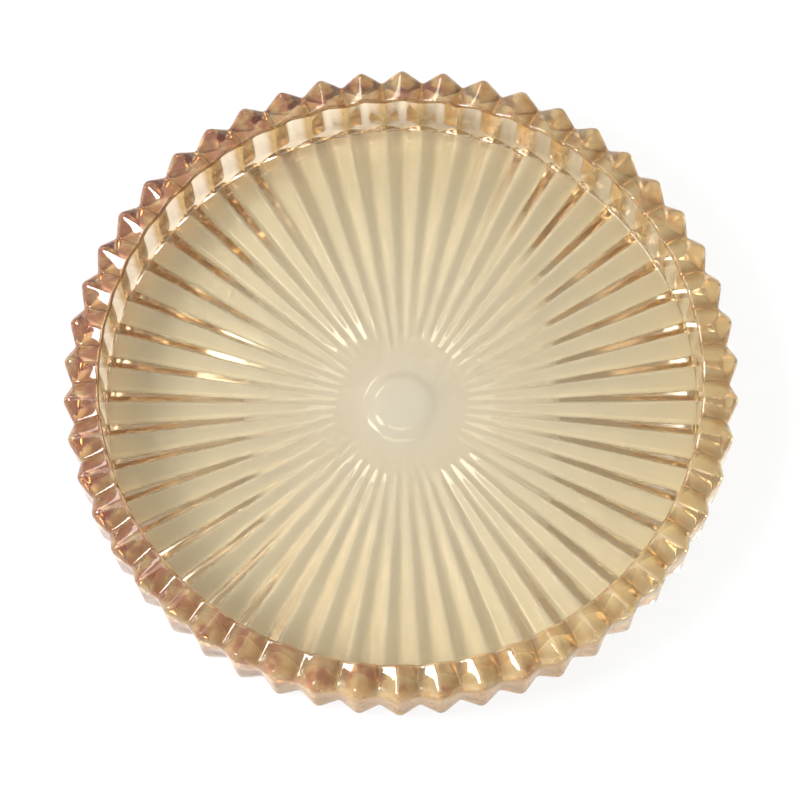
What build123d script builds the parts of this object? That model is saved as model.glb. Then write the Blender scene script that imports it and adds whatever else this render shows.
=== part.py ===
"""Candle plate: a round dish of pressed glass with a fluted wall and a ribbed underside, and its lustre coat.

Millimetres, +Z up, origin at the centre of the face that the plate stands on. A flute crest lies on +X.
"""

from build123d import *

import os
from dataclasses import dataclass
from math import acos, atan2, cos, hypot, pi, radians, sin, tan

# Outside of the glass
FLUTE_COUNT = 50
TIP_DIAMETER = 120.0
HEIGHT = 15.0
SHOULDER_DROP = 2.0
SHOULDER_RADIUS = 1.5
SHOULDER_STEPS = 3
SHOULDER_NOTCH_BACK = 1.4
SHOULDER_NOTCH_DROP = 1.9
FLUTE_DEPTH = 1.8
CREST_ROUNDING = 0.8
VALLEY_ROUNDING = 0.5
WALL_DRAFT = 6.0
FOOT_RADIUS = 2.2
FOOT_STEPS = 4

# Ribs and button on the underside
RIB_DEPTH = 2.0
RIB_END_DIAMETER = 21.0
BUTTON_DIAMETER = 14.8
BUTTON_DEPTH = 0.8
BUTTON_EDGE_WIDTH = 3.2
BUTTON_EDGE_ROUNDING = 2.0

# Rim and inside of the dish
RIM_WIDTH = 6.4
RIM_NOTCH_DROP = 0.9
RIM_EDGE_RADIUS = 0.6
RIM_EDGE_STEPS = 3
WALL_TAPER = 0.75
FLOOR_THICKNESS = 3.0
CORNER_RADIUS = 0.5
CORNER_STEPS = 3

# Lustre coat on the gables and the outside of the wall, down to where the foot turns under
COAT_CLEARANCE = 0.03
COAT_THICKNESS = 0.1

PITCH = 2 * pi / FLUTE_COUNT
TIP_RADIUS = TIP_DIAMETER / 2
MOUTH_RADIUS = TIP_RADIUS - RIM_WIDTH
FLOOR_RADIUS = MOUTH_RADIUS - WALL_TAPER
HALF_PITCH = PITCH / 2 * TIP_RADIUS


@dataclass(frozen=True)
class Station:
    """A ring of the plate's skin.

    radius, height: the crest of the flutes. back, drop: how far the valleys lie inwards of the crest and below it.
    lean: the way the coat lies on, in radians above the horizontal.
    """

    radius: float
    height: float
    back: float = 0.0
    drop: float = 0.0
    lean: float = 0.0

    def point(self, turn: float, share: float, lift: float) -> Vector:
        """A point at an angle round the axis, at a share of the way to the valley, lifted off the glass."""
        radius = self.radius - share * self.back + lift * cos(self.lean)
        height = self.height - share * self.drop + lift * sin(self.lean)
        return Vector(radius * cos(turn), radius * sin(turn), height)

    def edge(self, flute: int, lift: float = 0.0) -> Edge:
        """One flute's edge, from crest to crest: a rounded V, or an arc where there is no flute."""
        start = flute * PITCH
        if self.back == self.drop == 0:
            turns = (start, start + PITCH / 2, start + PITCH)
            return Edge.make_three_point_arc(*(self.point(turn, 0, lift) for turn in turns))
        crest = CREST_ROUNDING / HALF_PITCH
        valley = VALLEY_ROUNDING / HALF_PITCH
        fall = 1 - (crest + valley) / 2
        flank = [(step, (step - crest / 2) / fall) for step in (crest, (1 + crest - valley) / 2, 1 - valley)]
        half = [(0, 0), *flank, (1, 1)]
        whole = half + [(2 - step, share) for step, share in reversed(half[:-1])]
        points = [self.point(start + step * PITCH / 2, share, lift) for step, share in whole]
        ends = [Vector(-sin(turn), cos(turn), 0) for turn in (start, start + PITCH)]
        return Edge.make_spline(points, tangents=ends)


def dish_stations() -> list[Station]:
    """Rings round the corner of the dish, from its flat floor to its wall. They have no flutes."""
    stations = []
    for step in range(CORNER_STEPS + 1):
        turn = pi / 2 * step / CORNER_STEPS
        radius = FLOOR_RADIUS - CORNER_RADIUS * (1 - sin(turn))
        stations.append(Station(radius, FLOOR_THICKNESS + CORNER_RADIUS * (1 - cos(turn))))
    return stations


def rim_stations() -> list[Station]:
    """Rings over the rounded inner edge of the rim, which rises to every crest and falls to every valley."""
    stations = []
    for step in range(RIM_EDGE_STEPS + 1):
        turn = pi / 2 * step / RIM_EDGE_STEPS
        radius = MOUTH_RADIUS + RIM_EDGE_RADIUS * (1 - cos(turn))
        height = HEIGHT - RIM_EDGE_RADIUS * (1 - sin(turn))
        stations.append(Station(radius, height, drop=RIM_NOTCH_DROP, lean=pi / 2))
    return stations


def shoulder_stations() -> list[Station]:
    """Rings over the shoulder, from the end of the straight gables to the top of the wall."""
    centre = (TIP_RADIUS - SHOULDER_RADIUS, HEIGHT - SHOULDER_DROP)
    to_rim = (MOUTH_RADIUS + RIM_EDGE_RADIUS - centre[0], HEIGHT - centre[1])
    gable_lean = atan2(to_rim[1], to_rim[0]) - acos(SHOULDER_RADIUS / hypot(*to_rim))
    stations = []
    for step in range(SHOULDER_STEPS + 1):
        lean = gable_lean * (1 - step / SHOULDER_STEPS)
        radius = centre[0] + SHOULDER_RADIUS * cos(lean)
        height = centre[1] + SHOULDER_RADIUS * sin(lean)
        stations.append(Station(radius, height, SHOULDER_NOTCH_BACK, SHOULDER_NOTCH_DROP, lean))
    return stations


def foot_stations() -> list[Station]:
    """Rings round the foot's curve, from the end of the wall to the plane that the plate stands on."""
    wall_top = shoulder_stations()[-1]
    draft = radians(WALL_DRAFT)
    start_height = FOOT_RADIUS * (1 - sin(draft))
    start_radius = wall_top.radius - (wall_top.height - start_height) * tan(draft)
    centre = start_radius - FOOT_RADIUS * cos(draft)
    stations = []
    for step in range(FOOT_STEPS + 1):
        share = step / FOOT_STEPS
        lean = -draft - share * (pi / 2 - draft)
        radius = centre + FOOT_RADIUS * cos(lean)
        height = FOOT_RADIUS * (1 + sin(lean))
        depth = FLUTE_DEPTH + share * (RIB_DEPTH - FLUTE_DEPTH)
        turn = share * pi / 2
        stations.append(Station(radius, height, depth * cos(turn), -depth * sin(turn), lean))
    return stations


def fluted_skin(stations: list[Station], lift: float = 0.0) -> list[Face]:
    """Ruled faces between neighbouring rings, one for each flute."""
    return [
        Face.make_surface_from_curves(first.edge(flute, lift), second.edge(flute, lift))
        for first, second in zip(stations, stations[1:])
        for flute in range(FLUTE_COUNT)
    ]


def disc(station: Station) -> Face:
    """A flat face that fills a ring with no flutes."""
    return Face(Wire([station.edge(flute) for flute in range(FLUTE_COUNT)]))


def button_recess() -> Part:
    """The shallow recess at the centre of the underside: a flat disc with a sloping, rounded edge."""
    radius = BUTTON_DIAMETER / 2
    recess = Pos(0, 0, BUTTON_DEPTH / 2) * Cone(radius, radius - BUTTON_EDGE_WIDTH, BUTTON_DEPTH)
    top = recess.edges().filter_by(GeomType.CIRCLE).sort_by(Axis.Z)[-1]
    return fillet(top, BUTTON_EDGE_ROUNDING)


def pressed_glass_plate() -> Part:
    """The glass: a skin from the dish's floor over the rim and under the foot to the ribs' ends, and a recess."""
    ribs_end = Station(RIB_END_DIAMETER / 2, 0)
    stations = dish_stations() + rim_stations() + shoulder_stations() + foot_stations() + [ribs_end]
    faces = fluted_skin(stations) + [disc(stations[0]), disc(ribs_end)]
    return Solid(Shell(faces)) - button_recess()


def lustre_coat() -> Solid:
    """The coat: a thin skin on the gables, the wall and the upper part of the foot's curve."""
    stations = rim_stations()[-1:] + shoulder_stations() + foot_stations()[:-1]
    inner = COAT_CLEARANCE
    outer = COAT_CLEARANCE + COAT_THICKNESS
    ends = [
        Face.make_surface_from_curves(end.edge(flute, inner), end.edge(flute, outer))
        for end in (stations[0], stations[-1])
        for flute in range(FLUTE_COUNT)
    ]
    return Solid(Shell(fluted_skin(stations, inner) + fluted_skin(stations, outer) + ends))


if __name__ == "__main__":
    os.makedirs("parts", exist_ok=True)
    export_step(pressed_glass_plate(), "parts/pressed_glass_plate.step")
    export_step(lustre_coat(), "parts/lustre_coat.step")
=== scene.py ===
"""Candle plate of pale amber pressed glass, with a fluted wall, a ribbed underside and a lustre film.

Metres, +Z up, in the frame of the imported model: the plate stands on z = 0 and a flute's crest lies on +X.
"""

import logging
from collections.abc import Iterator, Sequence
from dataclasses import astuple, dataclass
from enum import Enum, IntEnum
from math import acos, atan2, cos, hypot, pi, radians, sin, tan
from typing import Any

import bpy
from mathutils import Matrix, Vector

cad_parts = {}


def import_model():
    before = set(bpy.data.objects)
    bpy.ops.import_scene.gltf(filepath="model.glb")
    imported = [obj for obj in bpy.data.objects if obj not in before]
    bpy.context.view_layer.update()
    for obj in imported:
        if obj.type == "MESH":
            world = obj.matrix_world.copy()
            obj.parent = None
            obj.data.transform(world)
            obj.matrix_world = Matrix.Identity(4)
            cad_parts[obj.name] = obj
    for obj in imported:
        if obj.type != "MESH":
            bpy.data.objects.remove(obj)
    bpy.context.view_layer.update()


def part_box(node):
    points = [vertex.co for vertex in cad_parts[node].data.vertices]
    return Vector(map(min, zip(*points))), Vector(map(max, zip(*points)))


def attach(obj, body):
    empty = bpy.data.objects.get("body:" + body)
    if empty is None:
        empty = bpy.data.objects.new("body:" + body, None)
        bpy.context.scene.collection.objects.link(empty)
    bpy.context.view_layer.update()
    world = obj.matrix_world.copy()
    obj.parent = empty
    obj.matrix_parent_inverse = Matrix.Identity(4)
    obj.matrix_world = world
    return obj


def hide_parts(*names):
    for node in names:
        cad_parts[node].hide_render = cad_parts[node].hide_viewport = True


LOG = logging.getLogger("candle_plate")
MM = 0.001
GLASS_NODE = "pressed_glass_plate"
FILM_NODE = "lustre_coat"

Colour = tuple[float, float, float]
WHITE: Colour = (1.0, 1.0, 1.0)


class Attribute(Enum):
    """The plate's own attributes, which its outline carries and its finish reads."""

    FLUTE = "flute"
    VALLEY = "valley"
    FILM = "film"
    GLOSS = "gloss"
    STAIN = "stain"


class ColourMix(IntEnum):
    """Places of the colour sockets on a Mix node, which has others for numbers and vectors."""

    FACTOR = 0
    START = 6
    END = 7
    RESULT = 2


class Value:
    """A number socket of a node tree, so that sums on it are written as Python expressions."""

    def __init__(self, graph: "Graph", socket: bpy.types.NodeSocket) -> None:
        """Keeps the tree and the socket."""
        self.graph = graph
        self.socket = socket

    def __add__(self, other: "Value | float") -> "Value":
        """Returns self + other."""
        return self.graph.math("ADD", self, other)

    def __radd__(self, other: float) -> "Value":
        """Returns other + self."""
        return self.graph.math("ADD", other, self)

    def __sub__(self, other: "Value | float") -> "Value":
        """Returns self - other."""
        return self.graph.math("SUBTRACT", self, other)

    def __rsub__(self, other: float) -> "Value":
        """Returns other - self."""
        return self.graph.math("SUBTRACT", other, self)

    def __mul__(self, other: "Value | float") -> "Value":
        """Returns self * other."""
        return self.graph.math("MULTIPLY", self, other)

    def __rmul__(self, other: float) -> "Value":
        """Returns other * self."""
        return self.graph.math("MULTIPLY", other, self)

    def __truediv__(self, other: "Value | float") -> "Value":
        """Returns self / other."""
        return self.graph.math("DIVIDE", self, other)

    def __rtruediv__(self, other: float) -> "Value":
        """Returns other / self."""
        return self.graph.math("DIVIDE", other, self)

    def __mod__(self, other: "Value | float") -> "Value":
        """Returns self % other."""
        return self.graph.math("FLOORED_MODULO", self, other)

    def __rmod__(self, other: float) -> "Value":
        """Returns other % self."""
        return self.graph.math("FLOORED_MODULO", other, self)


class Graph:
    """Adds nodes and links to one node tree."""

    def __init__(self, tree: bpy.types.NodeTree) -> None:
        """Empties the tree and keeps it."""
        tree.nodes.clear()
        self.tree = tree

    def node(self, kind: str, settings: dict[str, Any], sockets: dict[str | int, Any]) -> bpy.types.Node:
        """Adds a node.

        Args:
            kind: the node's type.
            settings: its own options, set first. A ramp takes its stops under "stops", as pairs of a place
                and a colour.
            sockets: a value or a link for each named or numbered input.

        Returns:
            The new node.
        """
        node = self.tree.nodes.new(kind)
        for name, setting in settings.items():
            if name == "stops":
                self.set_stops(node.color_ramp, setting)
            else:
                setattr(node, name, setting)
        for key, value in sockets.items():
            if isinstance(value, Value):
                value = value.socket
            if isinstance(value, bpy.types.NodeSocket):
                self.tree.links.new(value, node.inputs[key])
            else:
                node.inputs[key].default_value = value
        return node

    def value(
        self,
        kind: str,
        output: str | int,
        settings: dict[str, Any] | None = None,
        sockets: dict[str | int, Any] | None = None,
    ) -> Value:
        """Adds a node and wraps one of its outputs.

        Args:
            kind: the node's type.
            output: the output's name or number.
            settings: the node's own options.
            sockets: a value or a link for each input.

        Returns:
            The output, ready for sums and links.
        """
        return Value(self, self.node(kind, settings or {}, sockets or {}).outputs[output])

    def math(self, operation: str, *terms: Value | float) -> Value:
        """Adds a Math node and returns its result."""
        return self.value("ShaderNodeMath", 0, {"operation": operation}, dict(enumerate(terms)))

    def blend(
        self, share: Value, start: Colour | bpy.types.NodeSocket, end: Colour | bpy.types.NodeSocket
    ) -> bpy.types.NodeSocket:
        """Adds a Mix node for colours.

        Args:
            share: how much of the second colour shows.
            start: the first colour, or its socket.
            end: the second colour, or its socket.

        Returns:
            The mixed colour's socket.
        """
        sockets = {ColourMix.FACTOR: share}
        for place, colour in ((ColourMix.START, start), (ColourMix.END, end)):
            sockets[place] = opaque(colour) if isinstance(colour, tuple) else colour
        return self.node("ShaderNodeMix", {"data_type": "RGBA"}, sockets).outputs[ColourMix.RESULT]

    @staticmethod
    def set_stops(ramp: bpy.types.ColorRamp, stops: list[tuple[float, Colour]]) -> None:
        """Gives a colour ramp its stops.

        Args:
            ramp: the ramp, with the two stops that a new one has.
            stops: the place and the colour of each stop, in order.
        """
        while len(ramp.elements) < len(stops):
            ramp.elements.new(1.0)
        for element, (place, colour) in zip(ramp.elements, stops):
            element.position = place
            element.color = opaque(colour)


@dataclass(frozen=True)
class GlassFinish:
    """Pale amber pressed glass, with the faint waviness of a mould."""

    clear: Colour = (0.97, 0.96, 0.91)
    amber: Colour = (0.90, 0.77, 0.46)
    ior: float = 1.52
    roughness: float = 0.012
    underside_roughness: float = 0.1
    film_roughness: float = 0.03
    absorption: Colour = (0.84, 0.68, 0.40)
    absorption_density: float = 80.0
    wave_scale: float = 140.0
    wave_detail: float = 2.0
    wave_height: float = 0.02 * MM


@dataclass(frozen=True)
class LustreFinish:
    """A fired-on lustre film that drifts from pink through amber to yellow, with painted shade in the
    valleys and on the near side of the wall.

    pink_at, amber_at, yellow_at: where each colour lies on the scale of tones. drift_azimuth: where the
    yellow side lies, in degrees. drift: how much the tone changes per metre towards it. pooled: painted
    shade, a darker amber blended into the flutes' valleys for light reflected inside the glass there.
    painted_valley_shade_from, painted_valley_shade_gain: the share of a flute's depth at which that painted
    shade starts, and how fast it
    darkens. edge_gain: how fast the film starts at its edges. thick: painted shade, a darker amber on the
    near side of the wall, towards the camera, for the warm light of long paths through the glass there.
    painted_near_shade_azimuth: that side, in degrees. painted_near_shade_from, painted_near_shade_over: how
    far from the axis the painted shade starts, and the way it takes. painted_near_shade_tint,
    painted_near_shade_cover: how much it tints the glass, and hides it.
    """

    pink: Colour = (0.62, 0.31, 0.28)
    amber: Colour = (0.95, 0.77, 0.50)
    yellow: Colour = (0.99, 0.96, 0.70)
    pink_at: float = 0.2
    amber_at: float = 0.5
    yellow_at: float = 0.8
    metallic: float = 0.15
    roughness: float = 0.14
    patch_scale: float = 340.0
    patch_detail: float = 4.0
    patch_strength: float = 2.0
    drift_azimuth: float = -15.0
    drift: float = 5.5
    # Painted shade: a darker amber blended into the flutes' valleys, standing in for light reflected inside
    # the glass there.
    painted_valley_shade: Colour = (0.44, 0.25, 0.07)
    painted_valley_shade_from: float = 0.4
    painted_valley_shade_gain: float = 2.2
    edge_gain: float = 10.0
    # Painted shade: a darker amber on the near side of the wall, towards the camera, standing in for the
    # warm light of long paths through the glass.
    painted_near_shade: Colour = (0.52, 0.26, 0.03)
    painted_near_shade_azimuth: float = -86.0
    painted_near_shade_from: float = 46.0 * MM
    painted_near_shade_over: float = 8.0 * MM
    painted_near_shade_tint: float = 0.8
    painted_near_shade_cover: float = 0.5


@dataclass(frozen=True)
class PlateFinish:
    """The plate's whole finish: glass all through, with the lustre film where the outline has it."""

    glass: GlassFinish = GlassFinish()
    lustre: LustreFinish = LustreFinish()

    def material(self) -> bpy.types.Material:
        """Builds the material.

        Returns:
            The material: a mix of the glass and its film, with painted amber shade on the wall's near side
                and in the valleys, and glass inside.
        """
        lustre = self.lustre
        material = bpy.data.materials.new("amber_glass_with_lustre")
        material.use_nodes = True
        graph = Graph(material.node_tree)
        place = graph.node("ShaderNodeTexCoord", {}, {}).outputs["Object"]
        normal = self.waviness(graph, place)
        film = self.attribute(graph, Attribute.FILM)
        gloss = self.attribute(graph, Attribute.GLOSS)
        outside = graph.math("MINIMUM", gloss * lustre.edge_gain, 1.0) * (1 - film)
        # Painted shade: the near side of the wall gets a darker amber tone, tint and cover.
        near_shade = self.painted_near_shade_share(graph, place) * outside
        tone = graph.blend(near_shade * lustre.painted_near_shade_tint, self.film_tone(graph, place), lustre.painted_near_shade)
        glass_shader = self.glass_shader(graph, normal, film + near_shade * lustre.painted_near_shade_tint, tone)
        coat = {
            "Base Color": tone,
            "Metallic": lustre.metallic,
            "Specular IOR Level": 0.0,
            "Roughness": lustre.roughness,
            "Normal": normal,
        }
        film_shader = graph.node("ShaderNodeBsdfPrincipled", {}, coat).outputs[0]
        cover = gloss + (lustre.painted_near_shade_cover - gloss) * near_shade
        mixed = {0: cover, 1: glass_shader, 2: film_shader}
        surface = graph.node("ShaderNodeMixShader", {}, mixed).outputs[0]
        inside = {"Color": opaque(self.glass.absorption), "Density": self.glass.absorption_density}
        volume = graph.node("ShaderNodeVolumeAbsorption", {}, inside).outputs[0]
        graph.node("ShaderNodeOutputMaterial", {}, {"Surface": surface, "Volume": volume})
        return material

    @staticmethod
    def attribute(graph: Graph, attribute: Attribute) -> Value:
        """Returns one of the plate's own attributes."""
        return graph.value("ShaderNodeAttribute", "Fac", {"attribute_name": attribute.value})

    def waviness(self, graph: Graph, place: bpy.types.NodeSocket) -> bpy.types.NodeSocket:
        """Adds the faint waves of pressed glass.

        Args:
            graph: the material's tree.
            place: Object coordinates.

        Returns:
            The bumped normal.
        """
        glass = self.glass
        noise = {"Vector": place, "Scale": glass.wave_scale, "Detail": glass.wave_detail}
        height = graph.value("ShaderNodeTexNoise", "Fac", {}, noise)
        bump = {"Strength": 1.0, "Distance": glass.wave_height, "Height": height}
        return graph.node("ShaderNodeBump", {}, bump).outputs["Normal"]

    def glass_shader(
        self, graph: Graph, normal: bpy.types.NodeSocket, film: Value, tone: bpy.types.NodeSocket
    ) -> bpy.types.NodeSocket:
        """Adds the glass, tinted by the film, by painted amber shade in the flute valleys and by the stain
        below.

        Args:
            graph: the material's tree.
            normal: the wavy normal.
            film: how much of the film there is, with the painted shade of the wall's near side added.
            tone: the film's colour, with that painted shade blended in.

        Returns:
            The shader's socket.
        """
        glass = self.glass
        lustre = self.lustre
        valley = self.attribute(graph, Attribute.VALLEY)
        stain = self.attribute(graph, Attribute.STAIN)
        coated = graph.math("MINIMUM", film * lustre.edge_gain, 1.0)
        # Painted shade: a darker amber in the valleys of the coated flutes.
        valley_shade = graph.math("MAXIMUM", (valley - lustre.painted_valley_shade_from) * lustre.painted_valley_shade_gain, 0.0)
        tint = graph.blend(film, glass.clear, tone)
        tint = graph.blend(valley_shade * coated, tint, lustre.painted_valley_shade)
        tint = graph.blend(stain, tint, glass.amber)
        sockets = {
            "Base Color": tint,
            "Roughness": glass.roughness + stain * glass.underside_roughness + film * glass.film_roughness,
            "IOR": glass.ior,
            "Transmission Weight": 1.0,
            "Normal": normal,
        }
        return graph.node("ShaderNodeBsdfPrincipled", {}, sockets).outputs[0]

    def painted_near_shade_share(self, graph: Graph, place: bpy.types.NodeSocket) -> Value:
        """Works out where the wall's near side gets its painted amber shade.

        Args:
            graph: the material's tree.
            place: Object coordinates.

        Returns:
            1 where the painted shade lies, and 0 elsewhere.
        """
        towards = {0: place, 1: direction(self.lustre.painted_near_shade_azimuth, 0.0)}
        reach = graph.value("ShaderNodeVectorMath", "Value", {"operation": "DOT_PRODUCT"}, towards)
        rise = (reach - self.lustre.painted_near_shade_from) / self.lustre.painted_near_shade_over
        return graph.math("MINIMUM", graph.math("MAXIMUM", rise, 0.0), 1.0)

    def film_tone(self, graph: Graph, place: bpy.types.NodeSocket) -> bpy.types.NodeSocket:
        """Adds the film's tone: patches that drift from one side of the plate to the other.

        Args:
            graph: the material's tree.
            place: Object coordinates.

        Returns:
            The colour's socket.
        """
        lustre = self.lustre
        noise = {"Vector": place, "Scale": lustre.patch_scale, "Detail": lustre.patch_detail}
        patches = graph.value("ShaderNodeTexNoise", "Fac", {}, noise)
        towards = {0: place, 1: direction(lustre.drift_azimuth, 0.0) * lustre.drift}
        drift = graph.value("ShaderNodeVectorMath", "Value", {"operation": "DOT_PRODUCT"}, towards)
        tone = 0.5 + (patches - 0.5) * lustre.patch_strength + drift
        stops = [
            (lustre.pink_at, lustre.pink),
            (lustre.amber_at, lustre.amber),
            (lustre.yellow_at, lustre.yellow),
        ]
        return graph.node("ShaderNodeValToRGB", {"stops": stops}, {0: tone}).outputs["Color"]


@dataclass(frozen=True)
class OutlinePoint:
    """A point of the plate's half section.

    radius, height: where a flute's crest lies. back, drop: how far the flute's valley lies inwards of the
    crest and below it. film, gloss: how much the lustre film tints the glass there, and covers it. stain:
    how amber the glass is.
    """

    radius: float
    height: float
    back: float = 0.0
    drop: float = 0.0
    film: float = 0.0
    gloss: float = 0.0
    stain: float = 0.0

    def on_to(self, end: "OutlinePoint", shares: Sequence[float]) -> Iterator["OutlinePoint"]:
        """Yields points on the straight way to another point.

        Args:
            end: the other point.
            shares: how much of the way each of them has gone.

        Yields:
            A point for each share, with everything in proportion.
        """
        for share in shares:
            yield OutlinePoint(*(a + share * (b - a) for a, b in zip(astuple(self), astuple(end))))


@dataclass(frozen=True)
class OutlineSteps:
    """How finely each part of the outline is drawn: in even steps, or at shares of the way."""

    button: int = 3
    button_edge: int = 10
    centre: int = 2
    ribs: int = 12
    foot: int = 10
    wall: int = 6
    shoulder: int = 8
    rim: int = 6
    corner: int = 8
    gable: tuple[float, ...] = (0.04, 0.25, 0.5, 0.75, 0.96)
    inside: tuple[float, ...] = (0.05, 0.35, 0.65, 0.95)
    floor: tuple[float, ...] = (0.02, 0.34, 0.67, 1.0)


@dataclass(frozen=True)
class CandlePlate:
    """The plate: a half section whose outside is fluted, repeated all the way round.

    tip_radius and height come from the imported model. The other sizes are the plate's own. wall_draft is in
    degrees. crowding: how much closer a flute's steps lie at its crests and its valley. weld: how near the
    points of neighbouring flutes are joined. The shares at the end say how much of a finish a part has.
    """

    tip_radius: float
    height: float
    flute_count: int = 50
    flute_steps: int = 20
    flute_back: float = 1.8 * MM
    crest_rounding: float = 0.8 * MM
    valley_rounding: float = 0.5 * MM
    crowding: float = 0.55
    weld: float = 0.001 * MM
    shoulder_drop: float = 2.0 * MM
    shoulder_radius: float = 1.5 * MM
    shoulder_notch_back: float = 1.4 * MM
    shoulder_notch_drop: float = 1.9 * MM
    wall_draft: float = 6.0
    foot_radius: float = 2.2 * MM
    rib_depth: float = 2.0 * MM
    rib_end_radius: float = 10.5 * MM
    button_radius: float = 7.4 * MM
    button_depth: float = 0.8 * MM
    button_edge: float = 3.2 * MM
    rim_width: float = 6.4 * MM
    rim_notch: float = 0.9 * MM
    rim_edge_radius: float = 0.6 * MM
    wall_taper: float = 0.75 * MM
    floor_thickness: float = 3.0 * MM
    floor_corner_radius: float = 0.5 * MM
    steps: OutlineSteps = OutlineSteps()
    button_stain: float = 0.18
    rib_end_stain: float = 0.35
    rib_stain: float = 0.85
    foot_stain: float = 0.7
    wall_film: float = 0.1
    wall_gloss: float = 0.2
    gable_gloss: float = 0.1

    @property
    def mouth_radius(self) -> float:
        """Returns the radius of the dish's mouth."""
        return self.tip_radius - self.rim_width

    @property
    def shoulder_centre(self) -> tuple[float, float]:
        """Returns the radius and the height of the centre of the shoulder's rounding."""
        return self.tip_radius - self.shoulder_radius, self.height - self.shoulder_drop

    @property
    def foot_start(self) -> tuple[float, float]:
        """Works out where the wall ends and the foot's curve starts.

        Returns:
            The radius and the height there.
        """
        draft = radians(self.wall_draft)
        height = self.foot_radius * (1 - sin(draft))
        return self.tip_radius - (self.shoulder_centre[1] - height) * tan(draft), height

    @property
    def foot_centre(self) -> float:
        """Returns the radius at which the foot's curve meets the table."""
        return self.foot_start[0] - self.foot_radius * cos(radians(self.wall_draft))

    def button(self) -> Iterator[OutlinePoint]:
        """Draws the recess under the centre.

        Yields:
            Its points, from the axis out over its rounded edge.
        """
        stain = self.button_stain
        flat = OutlinePoint(self.button_radius - self.button_edge, self.button_depth, stain=stain)
        yield from OutlinePoint(0, self.button_depth, stain=stain).on_to(flat, even_steps(self.steps.button))
        for share in even_steps(self.steps.button_edge)[1:]:
            rise = self.button_depth * (1 + cos(pi * share)) / 2
            yield OutlinePoint(flat.radius + share * self.button_edge, rise, stain=stain)

    def underside(self) -> Iterator[OutlinePoint]:
        """Draws the underside.

        Yields:
            Its points, from the recess out over the rising ribs to the foot.
        """
        start = OutlinePoint(self.button_radius, 0, stain=self.button_stain)
        inner = OutlinePoint(self.rib_end_radius, 0, stain=self.rib_end_stain)
        outer = OutlinePoint(self.foot_centre, 0, drop=-self.rib_depth, stain=self.rib_stain)
        yield from start.on_to(inner, even_steps(self.steps.centre)[1:])
        yield from inner.on_to(outer, even_steps(self.steps.ribs)[1:])

    def foot(self) -> Iterator[OutlinePoint]:
        """Draws the foot's curve.

        Yields:
            Its points, from the table up to the wall.
        """
        for share in even_steps(self.steps.foot)[1:]:
            lean = radians(-90 + share * (90 - self.wall_draft))
            turn = radians(90 * (1 - share))
            depth = self.rib_depth + share * (self.flute_back - self.rib_depth)
            yield OutlinePoint(
                self.foot_centre + self.foot_radius * cos(lean),
                self.foot_radius * (1 + sin(lean)),
                depth * cos(turn),
                -depth * sin(turn),
                film=self.wall_film * share,
                gloss=self.wall_gloss * share,
                stain=self.foot_stain * (1 - share),
            )

    def wall(self) -> Iterator[OutlinePoint]:
        """Draws the outside of the wall.

        Yields:
            Its points between the foot's curve and the shoulder.
        """
        low = OutlinePoint(*self.foot_start, self.flute_back, film=self.wall_film, gloss=self.wall_gloss)
        top = OutlinePoint(
            self.tip_radius,
            self.shoulder_centre[1],
            self.shoulder_notch_back,
            self.shoulder_notch_drop,
            film=self.wall_film,
            gloss=self.wall_gloss,
        )
        yield from low.on_to(top, even_steps(self.steps.wall)[1:-1])

    def gables(self) -> Iterator[OutlinePoint]:
        """Draws the shoulder and the gables.

        Yields:
            Their points, from the wall's top up to the rim's rounded edge.
        """
        centre = self.shoulder_centre
        inner = OutlinePoint(
            self.mouth_radius + self.rim_edge_radius,
            self.height,
            drop=self.rim_notch,
            film=1,
            gloss=self.gable_gloss,
        )
        to_inner = (inner.radius - centre[0], inner.height - centre[1])
        gable_lean = atan2(to_inner[1], to_inner[0]) - acos(self.shoulder_radius / hypot(*to_inner))
        for share in even_steps(self.steps.shoulder):
            shoulder = OutlinePoint(
                centre[0] + self.shoulder_radius * cos(share * gable_lean),
                centre[1] + self.shoulder_radius * sin(share * gable_lean),
                self.shoulder_notch_back,
                self.shoulder_notch_drop,
                film=self.wall_film + (1 - self.wall_film) * share,
                gloss=self.wall_gloss + (self.gable_gloss - self.wall_gloss) * share,
            )
            yield shoulder
        yield from shoulder.on_to(inner, self.steps.gable)

    def rim(self) -> Iterator[OutlinePoint]:
        """Draws the rim's rounded edge.

        Yields:
            Its points, in to the mouth.
        """
        for share in even_steps(self.steps.rim):
            turn = radians(90 * share)
            yield OutlinePoint(
                self.mouth_radius + self.rim_edge_radius * (1 - sin(turn)),
                self.height - self.rim_edge_radius * (1 - cos(turn)),
                drop=self.rim_notch,
                film=1 - share,
                gloss=self.gable_gloss * (1 - share),
            )

    def dish(self) -> Iterator[OutlinePoint]:
        """Draws the inside of the dish.

        Yields:
            Points of the wall, the rounded corner and the floor, in to the axis.
        """
        corner = self.floor_thickness + self.floor_corner_radius
        floor_radius = self.mouth_radius - self.wall_taper
        top = OutlinePoint(self.mouth_radius, self.height - self.rim_edge_radius, drop=self.rim_notch)
        yield from top.on_to(OutlinePoint(floor_radius, corner), self.steps.inside)
        flat = floor_radius - self.floor_corner_radius
        for share in even_steps(self.steps.corner):
            turn = radians(-90 * share)
            yield OutlinePoint(
                flat + self.floor_corner_radius * cos(turn), corner + self.floor_corner_radius * sin(turn)
            )
        floor = OutlinePoint(flat, self.floor_thickness)
        yield from floor.on_to(OutlinePoint(0, self.floor_thickness), self.steps.floor)

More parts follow.
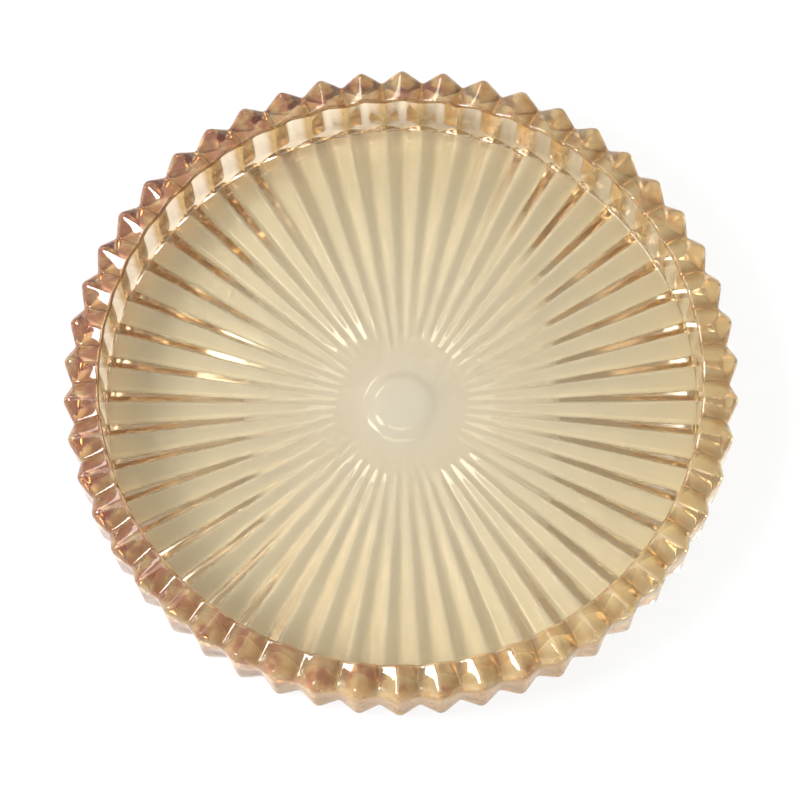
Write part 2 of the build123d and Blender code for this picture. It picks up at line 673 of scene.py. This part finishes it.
    def outline(self) -> bpy.types.Object:
        """Makes the half section as a line of points that carry the flutes' depth and the finish.

        Returns:
            The line's object, from the axis below to the axis above.
        """
        parts = (self.button, self.underside, self.foot, self.wall, self.gables, self.rim, self.dish)
        points = [point for part in parts for point in part()]
        mesh = bpy.data.meshes.new("candle_plate")
        edges = [(number, number + 1) for number in range(len(points) - 1)]
        mesh.from_pydata([(point.radius, 0, point.height) for point in points], edges, [])
        columns = {
            Attribute.FILM: [point.film for point in points],
            Attribute.GLOSS: [point.gloss for point in points],
            Attribute.STAIN: [point.stain for point in points],
        }
        for attribute, values in columns.items():
            mesh.attributes.new(attribute.value, "FLOAT", "POINT").data.foreach_set("value", values)
        flutes = [part for point in points for part in (-point.back, 0.0, -point.drop)]
        depth = mesh.attributes.new(Attribute.FLUTE.value, "FLOAT_VECTOR", "POINT")
        depth.data.foreach_set("vector", flutes)
        plate = bpy.data.objects.new("candle_plate", mesh)
        bpy.context.scene.collection.objects.link(plate)
        return plate

    def fluting(self) -> bpy.types.NodeTree:
        """Builds the tree that sweeps the outline over one flute and repeats the flute all the way round.

        Returns:
            The tree, with inputs for the number of flutes, the steps of one, its rounding and the material.
        """
        tree = bpy.data.node_groups.new("fluting", "GeometryNodeTree")
        inputs = {
            "Geometry": "NodeSocketGeometry",
            "Flutes": "NodeSocketInt",
            "Steps": "NodeSocketInt",
            "Crest rounding": "NodeSocketFloat",
            "Valley rounding": "NodeSocketFloat",
            "Material": "NodeSocketMaterial",
        }
        for name, kind in inputs.items():
            tree.interface.new_socket(name, in_out="INPUT", socket_type=kind)
        tree.interface.new_socket("Geometry", in_out="OUTPUT", socket_type="NodeSocketGeometry")
        graph = Graph(tree)
        given = graph.node("NodeGroupInput", {}, {})
        whole = self.all_round(graph, given, self.one_flute(graph, given))
        dressed = {"Geometry": whole, "Material": given.outputs["Material"]}
        made = graph.node("GeometryNodeSetMaterial", {}, dressed).outputs["Geometry"]
        graph.node("NodeGroupOutput", {}, {"Geometry": made})
        return tree

    def one_flute(self, graph: Graph, given: bpy.types.Node) -> bpy.types.NodeSocket:
        """Sweeps the outline over one flute, with a row of the sheet for each of its points.

        Args:
            graph: the fluting's tree.
            given: the tree's inputs.

        Returns:
            The flute, which carries the finish's attributes.
        """
        line = given.outputs["Geometry"]
        steps = Value(graph, given.outputs["Steps"])
        counted = {"Geometry": line}
        rows = graph.value("GeometryNodeAttributeDomainSize", "Point Count", {"component": "MESH"}, counted)
        grid = {"Vertices X": steps + 1, "Vertices Y": rows}
        sheet = graph.node("GeometryNodeMeshGrid", {}, grid).outputs["Mesh"]
        number = graph.value("GeometryNodeInputIndex", "Index")
        row = number % rows
        across = graph.math("FLOOR", (number + 0.5) / rows) / steps
        roundings = (Value(graph, given.outputs[f"{end} rounding"]) for end in ("Crest", "Valley"))
        share = self.flute_share(graph, across, *roundings)
        turn = self.crowded(graph, across) * self.pitch(graph, given)

        crest = self.sampled(graph, line, row, None)
        valley = {0: self.sampled(graph, line, row, Attribute.FLUTE), "Scale": share}
        moved = graph.node("ShaderNodeVectorMath", {"operation": "SCALE"}, valley).outputs["Vector"]
        summed = {0: crest, 1: moved}
        place = graph.node("ShaderNodeVectorMath", {"operation": "ADD"}, summed).outputs["Vector"]
        spun = {"Vector": place, "Angle": turn}
        place = graph.node("ShaderNodeVectorRotate", {"rotation_type": "Z_AXIS"}, spun).outputs["Vector"]
        shaped = {"Geometry": sheet, "Position": place}
        flute = graph.node("GeometryNodeSetPosition", {}, shaped).outputs["Geometry"]
        finishes = (Attribute.FILM, Attribute.GLOSS, Attribute.STAIN)
        fields = {attribute: self.sampled(graph, line, row, attribute) for attribute in finishes}
        for attribute, field in (fields | {Attribute.VALLEY: share}).items():
            stored = {"Geometry": flute, "Name": attribute.value, "Value": field}
            keeper = graph.node("GeometryNodeStoreNamedAttribute", {"data_type": "FLOAT"}, stored)
            flute = keeper.outputs["Geometry"]
        return flute

    def all_round(
        self, graph: Graph, given: bpy.types.Node, flute: bpy.types.NodeSocket
    ) -> bpy.types.NodeSocket:
        """Repeats the flute all the way round and welds the seams.

        Args:
            graph: the fluting's tree.
            given: the tree's inputs.
            flute: the flute.

        Returns:
            The whole plate, smooth and closed.
        """
        points = {"Count": given.outputs["Flutes"], "Offset": (0, 0, 0)}
        hub = graph.node("GeometryNodeMeshLine", {}, points).outputs["Mesh"]
        heading = graph.value("GeometryNodeInputIndex", "Index") * self.pitch(graph, given)
        rotation = graph.node("ShaderNodeCombineXYZ", {}, {"Z": heading}).outputs["Vector"]
        around = {"Points": hub, "Instance": flute, "Rotation": rotation}
        ring = graph.node("GeometryNodeInstanceOnPoints", {}, around).outputs["Instances"]
        whole = graph.node("GeometryNodeRealizeInstances", {}, {"Geometry": ring}).outputs["Geometry"]
        seams = {"Geometry": whole, "Distance": self.weld}
        closed = graph.node("GeometryNodeMergeByDistance", {}, seams).outputs["Geometry"]
        return graph.node("GeometryNodeSetShadeSmooth", {}, {"Geometry": closed}).outputs["Geometry"]

    @staticmethod
    def pitch(graph: Graph, given: bpy.types.Node) -> Value:
        """Returns the angle from one crest to the next, in radians."""
        return 2 * pi / Value(graph, given.outputs["Flutes"])

    def crowded(self, graph: Graph, across: Value) -> Value:
        """Draws the steps of a flute closer together at its crests and its valley.

        Args:
            graph: the fluting's tree.
            across: the way across the flute, from 0 to 1 in even steps.

        Returns:
            The way across in steps that follow the rounding.
        """
        bunching = 4 * pi
        return across - graph.math("SINE", across * bunching) * (self.crowding / bunching)

    def flute_share(self, graph: Graph, across: Value, crest: Value, valley: Value) -> Value:
        """Works out a rounded V, from 0 at the crests to 1 in the valley.

        Args:
            graph: the fluting's tree.
            across: the way across the flute, from 0 to 1 in even steps.
            crest: the share of each half that is rounded at the crest.
            valley: the share of each half that is rounded in the valley.

        Returns:
            The share of the flute's depth.
        """
        side = 1 - graph.math("ABSOLUTE", 1 - 2 * self.crowded(graph, across))
        past_crest = graph.math("MAXIMUM", side - crest, 0.0)
        near_valley = graph.math("MAXIMUM", side - (1 - valley), 0.0)
        fall = (side * side - past_crest * past_crest) / (2 * crest)
        rise = near_valley * near_valley / (2 * valley)
        return (fall - rise) / (1 - (crest + valley) / 2)

    @staticmethod
    def sampled(
        graph: Graph, line: bpy.types.NodeSocket, row: Value, attribute: Attribute | None
    ) -> bpy.types.NodeSocket:
        """Reads the outline at a row of the sheet.

        Args:
            graph: the fluting's tree.
            line: the outline.
            row: which of its points is read.
            attribute: what is read, or None for the point's place.

        Returns:
            The socket with what was read.
        """
        kind = {"data_type": "FLOAT_VECTOR" if attribute in (None, Attribute.FLUTE) else "FLOAT"}
        if attribute is None:
            field = graph.node("GeometryNodeInputPosition", {}, {}).outputs["Position"]
        else:
            named = {"Name": attribute.value}
            field = graph.node("GeometryNodeInputNamedAttribute", kind, named).outputs["Attribute"]
        wanted = {"Geometry": line, "Value": field, "Index": row}
        return graph.node("GeometryNodeSampleIndex", kind, wanted).outputs["Value"]

    def build(self, material: bpy.types.Material) -> bpy.types.Object:
        """Makes the plate as a plain closed mesh.

        Args:
            material: what the plate is made of.

        Returns:
            The plate's object.
        """
        plate = self.outline()
        tree = self.fluting()
        modifier = plate.modifiers.new("fluting", "NODES")
        modifier.node_group = tree
        half_pitch = pi / self.flute_count * self.tip_radius
        inputs = {
            "Flutes": self.flute_count,
            "Steps": self.flute_steps,
            "Crest rounding": self.crest_rounding / half_pitch,
            "Valley rounding": self.valley_rounding / half_pitch,
            "Material": material,
        }
        for item in tree.interface.items_tree:
            if item.in_out == "INPUT" and item.name in inputs:
                modifier[item.identifier] = inputs[item.name]
        line = plate.data
        evaluated = plate.evaluated_get(bpy.context.evaluated_depsgraph_get())
        plate.data = bpy.data.meshes.new_from_object(evaluated)
        plate.modifiers.clear()
        bpy.data.meshes.remove(line)
        return plate

    def dress(self, plate: bpy.types.Object) -> None:
        """Lets the plate stand for the glass and its film.

        Args:
            plate: the plate's object.
        """
        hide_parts(GLASS_NODE, FILM_NODE)
        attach(plate, "root")


@dataclass(frozen=True)
class Lamp:
    """A soft square lamp that looks at the plate.

    azimuth, elevation: where it stands, in degrees. power: in watts.
    """

    name: str
    azimuth: float
    elevation: float
    distance: float
    width: float
    power: float

    def build(self) -> bpy.types.Object:
        """Makes the lamp.

        Returns:
            The lamp's object.
        """
        data = bpy.data.lights.new(self.name, "AREA")
        data.size = self.width
        data.energy = self.power
        lamp = bpy.data.objects.new(self.name, data)
        lamp.location = direction(self.azimuth, self.elevation) * self.distance
        lamp.rotation_euler = lamp.location.to_track_quat("Z", "Y").to_euler()
        bpy.context.scene.collection.objects.link(lamp)
        return lamp


@dataclass(frozen=True)
class Studio:
    """The pale table, the soft surroundings, the lamps and the camera.

    table_white, table_white_through_glass: how white as such the table is, seen bare and through the glass.
    sides_to, overhead_from: the heights between which the sides' colour turns into the one overhead. The
    camera's angles are in degrees, its lens and its sensor in millimetres.
    """

    table_radius: float = 4.0
    table_corners: int = 64
    table_gap: float = 0.2 * MM
    table_colour: Colour = (0.82, 0.82, 0.82)
    table_white: float = 0.88
    table_white_through_glass: float = 0.08
    overhead: Colour = (0.49, 0.48, 0.46)
    overhead_from: float = 0.75
    sides: Colour = (0.47, 0.43, 0.36)
    sides_to: float = 0.12
    lamps: tuple[Lamp, ...] = (
        Lamp("window", azimuth=188.0, elevation=48.0, distance=1.2, width=0.45, power=20.0),
        Lamp("upper window", azimuth=245.0, elevation=76.0, distance=1.2, width=0.6, power=3.5),
        Lamp("back window", azimuth=124.0, elevation=36.0, distance=1.2, width=0.4, power=4.0),
    )
    camera_azimuth: float = -90.8
    camera_elevation: float = 69.0
    camera_roll: float = -2.7
    camera_distance: float = 1.2
    camera_reach: float = 20.0
    camera_lens: float = 303.3
    camera_sensor: float = 36.0
    aim_height: float = 11.0 * MM
    aim_right: float = -0.142 * MM
    aim_up: float = -2.635 * MM
    bounces: int = 24
    glossy_bounces: int = 16

    def table(self) -> bpy.types.Object:
        """Makes the table as a wide round sheet.

        Returns:
            The table's object.
        """
        corners = range(self.table_corners)
        turns = [2 * pi * corner / self.table_corners for corner in corners]
        radius = self.table_radius
        ring = [(radius * cos(turn), radius * sin(turn), -self.table_gap) for turn in turns]
        mesh = bpy.data.meshes.new("table")
        mesh.from_pydata(ring, [], [tuple(corners)])
        mesh.materials.append(self.table_finish())
        table = bpy.data.objects.new("table", mesh)
        bpy.context.scene.collection.objects.link(table)
        return table

    def table_finish(self) -> bpy.types.Material:
        """Builds the table's material: matt and pale, and partly white as such where it is seen.

        Returns:
            The material.
        """
        material = bpy.data.materials.new("pale_table")
        material.use_nodes = True
        graph = Graph(material.node_tree)
        matt = graph.node("ShaderNodeBsdfDiffuse", {}, {"Color": opaque(self.table_colour)}).outputs[0]
        white = graph.node("ShaderNodeEmission", {}, {"Color": opaque(WHITE), "Strength": 1.0}).outputs[0]
        path = graph.node("ShaderNodeLightPath", {}, {})
        camera, glossy, through = (
            Value(graph, path.outputs[f"Is {kind} Ray"]) for kind in ("Camera", "Glossy", "Transmission")
        )
        bare = graph.math("MAXIMUM", camera, glossy * (1 - through)) * self.table_white
        seen = graph.math("MAXIMUM", bare, through * self.table_white_through_glass)
        surface = graph.node("ShaderNodeMixShader", {}, {0: seen, 1: matt, 2: white}).outputs[0]
        graph.node("ShaderNodeOutputMaterial", {}, {"Surface": surface})
        return material

    def surroundings(self) -> None:
        """Sets the world: bright overhead, dimmer round the sides, and white where the camera sees it."""
        world = bpy.data.worlds.new("studio")
        world.use_nodes = True
        graph = Graph(world.node_tree)
        way = graph.node("ShaderNodeTexCoord", {}, {}).outputs["Generated"]
        rise = graph.node("ShaderNodeSeparateXYZ", {}, {0: way}).outputs["Z"]
        stops = [(self.sides_to, self.sides), (self.overhead_from, self.overhead)]
        glow = graph.node("ShaderNodeValToRGB", {"stops": stops}, {0: rise}).outputs["Color"]
        seen = graph.value("ShaderNodeLightPath", "Is Camera Ray")
        colour = graph.blend(seen, glow, WHITE)
        light = graph.node("ShaderNodeBackground", {}, {"Color": colour, "Strength": 1.0}).outputs[0]
        graph.node("ShaderNodeOutputWorld", {}, {"Surface": light})
        bpy.context.scene.world = world

    def camera(self) -> bpy.types.Object:
        """Makes the camera, at the angle that the plate is looked at.

        Returns:
            The camera's object.
        """
        data = bpy.data.cameras.new("camera")
        data.lens = self.camera_lens
        data.sensor_width = self.camera_sensor
        data.clip_end = self.camera_reach
        back = direction(self.camera_azimuth, self.camera_elevation)
        right = Vector((0, 0, 1)).cross(back).normalized()
        up = back.cross(right)
        roll = radians(self.camera_roll)
        across = cos(roll) * right + sin(roll) * up
        upward = cos(roll) * up - sin(roll) * right
        aim = Vector((0, 0, self.aim_height)) + self.aim_right * across + self.aim_up * upward
        place = Matrix((across, upward, back)).transposed().to_4x4()
        place.translation = aim + back * self.camera_distance
        camera = bpy.data.objects.new("camera", data)
        camera.matrix_world = place
        bpy.context.scene.collection.objects.link(camera)
        bpy.context.scene.camera = camera
        return camera

    def light_paths(self) -> None:
        """Lets light go on long enough to leave the fluted glass, which is many millimetres through."""
        cycles = bpy.context.scene.cycles
        cycles.max_bounces = self.bounces
        cycles.transmission_bounces = self.bounces
        cycles.glossy_bounces = self.glossy_bounces

    def build(self) -> None:
        """Builds everything round the plate."""
        bpy.context.scene.view_settings.view_transform = "Standard"
        self.table()
        self.surroundings()
        for lamp in self.lamps:
            lamp.build()
        self.camera()
        self.light_paths()


def even_steps(count: int) -> list[float]:
    """Returns the shares from 0 to 1 in a number of even steps."""
    return [step / count for step in range(count + 1)]


def opaque(colour: Colour) -> tuple[float, float, float, float]:
    """Returns a colour with full alpha."""
    return (*colour, 1.0)


def direction(azimuth: float, elevation: float) -> Vector:
    """Works out a unit vector.

    Args:
        azimuth: degrees from +X towards +Y.
        elevation: degrees above the table.

    Returns:
        The vector.
    """
    flat = cos(radians(elevation))
    return Vector((flat * cos(radians(azimuth)), flat * sin(radians(azimuth)), sin(radians(elevation))))


def main() -> None:
    """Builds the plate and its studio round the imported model."""
    logging.basicConfig(level=logging.INFO)
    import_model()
    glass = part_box(GLASS_NODE)[1]
    design = CandlePlate(tip_radius=glass.x, height=glass.z)
    plate = design.build(PlateFinish().material())
    design.dress(plate)
    LOG.info("%s: %d faces", plate.name, len(plate.data.polygons))
    Studio().build()
    LOG.info("studio: table, surroundings, lamps and camera")


if __name__ == "__main__":
    main()
